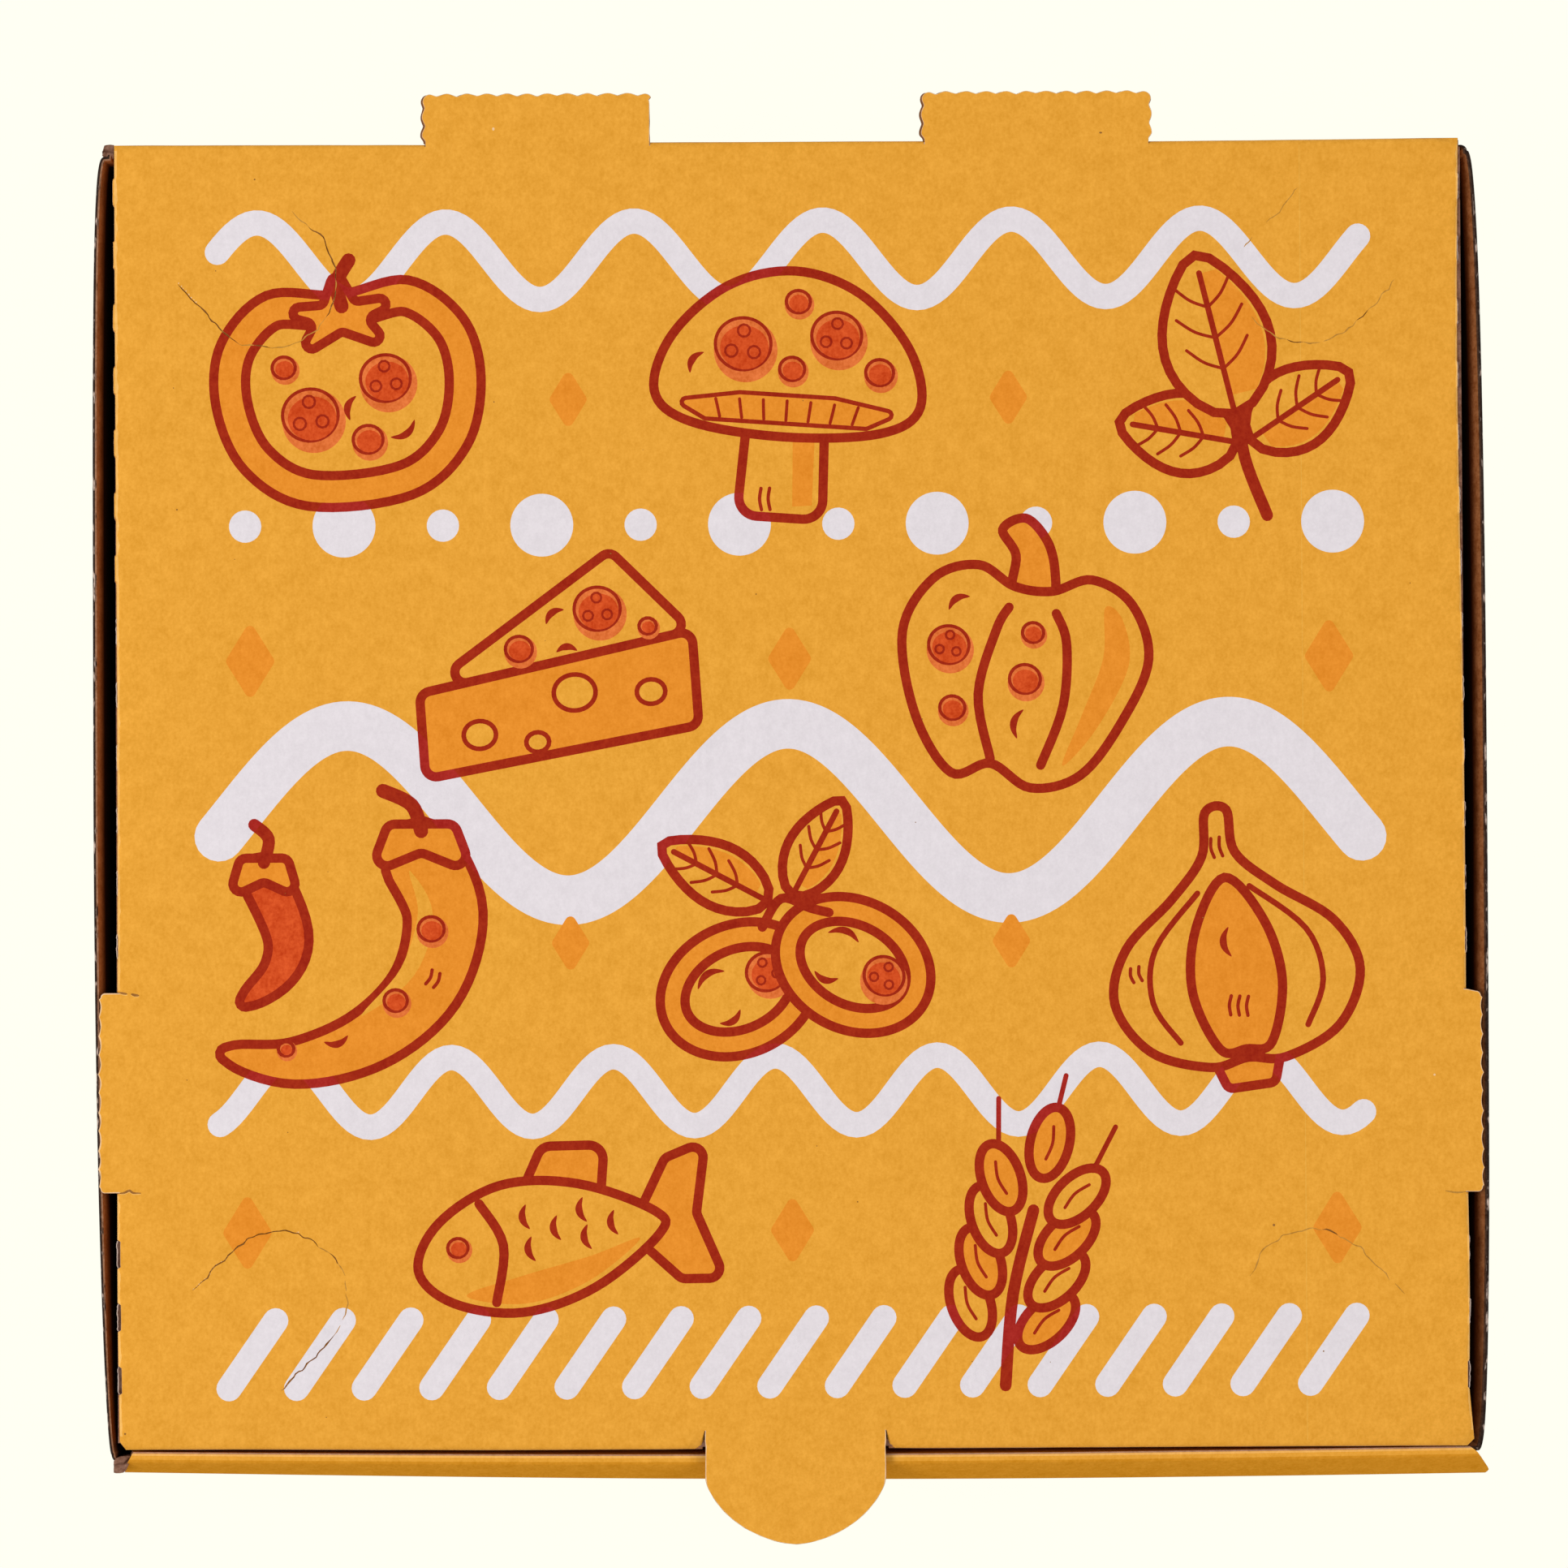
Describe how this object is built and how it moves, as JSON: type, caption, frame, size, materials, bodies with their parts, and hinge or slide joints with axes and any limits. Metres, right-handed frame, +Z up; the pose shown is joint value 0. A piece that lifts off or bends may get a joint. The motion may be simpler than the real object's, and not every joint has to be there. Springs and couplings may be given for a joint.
{
  "type": "shut pizza box",
  "caption": "Shut takeaway box of printed corrugated board, square and flat, with a thumb tab at the front and small waved tabs at the sides and hinge.",
  "frame": {"origin": "on the underside, below the middle of the lid", "axes": "+Z up out of the lid, -Y to the front with the thumb tab, +X to the right of someone who faces the front"},
  "size_m": [0.3104, 0.3231, 0.042],
  "materials": {
    "printed_board": "matt orange-yellow print on corrugated board",
    "kraft_board": "bare brown inner liner and cut edges",
    "white_ink": "flat white print",
    "red_ink": "flat dark red print",
    "orange_ink": "flat orange and light red print"
  },
  "bodies": {
    "root": {"pizza_box": "printed_board"}
  },
  "joints": []
}
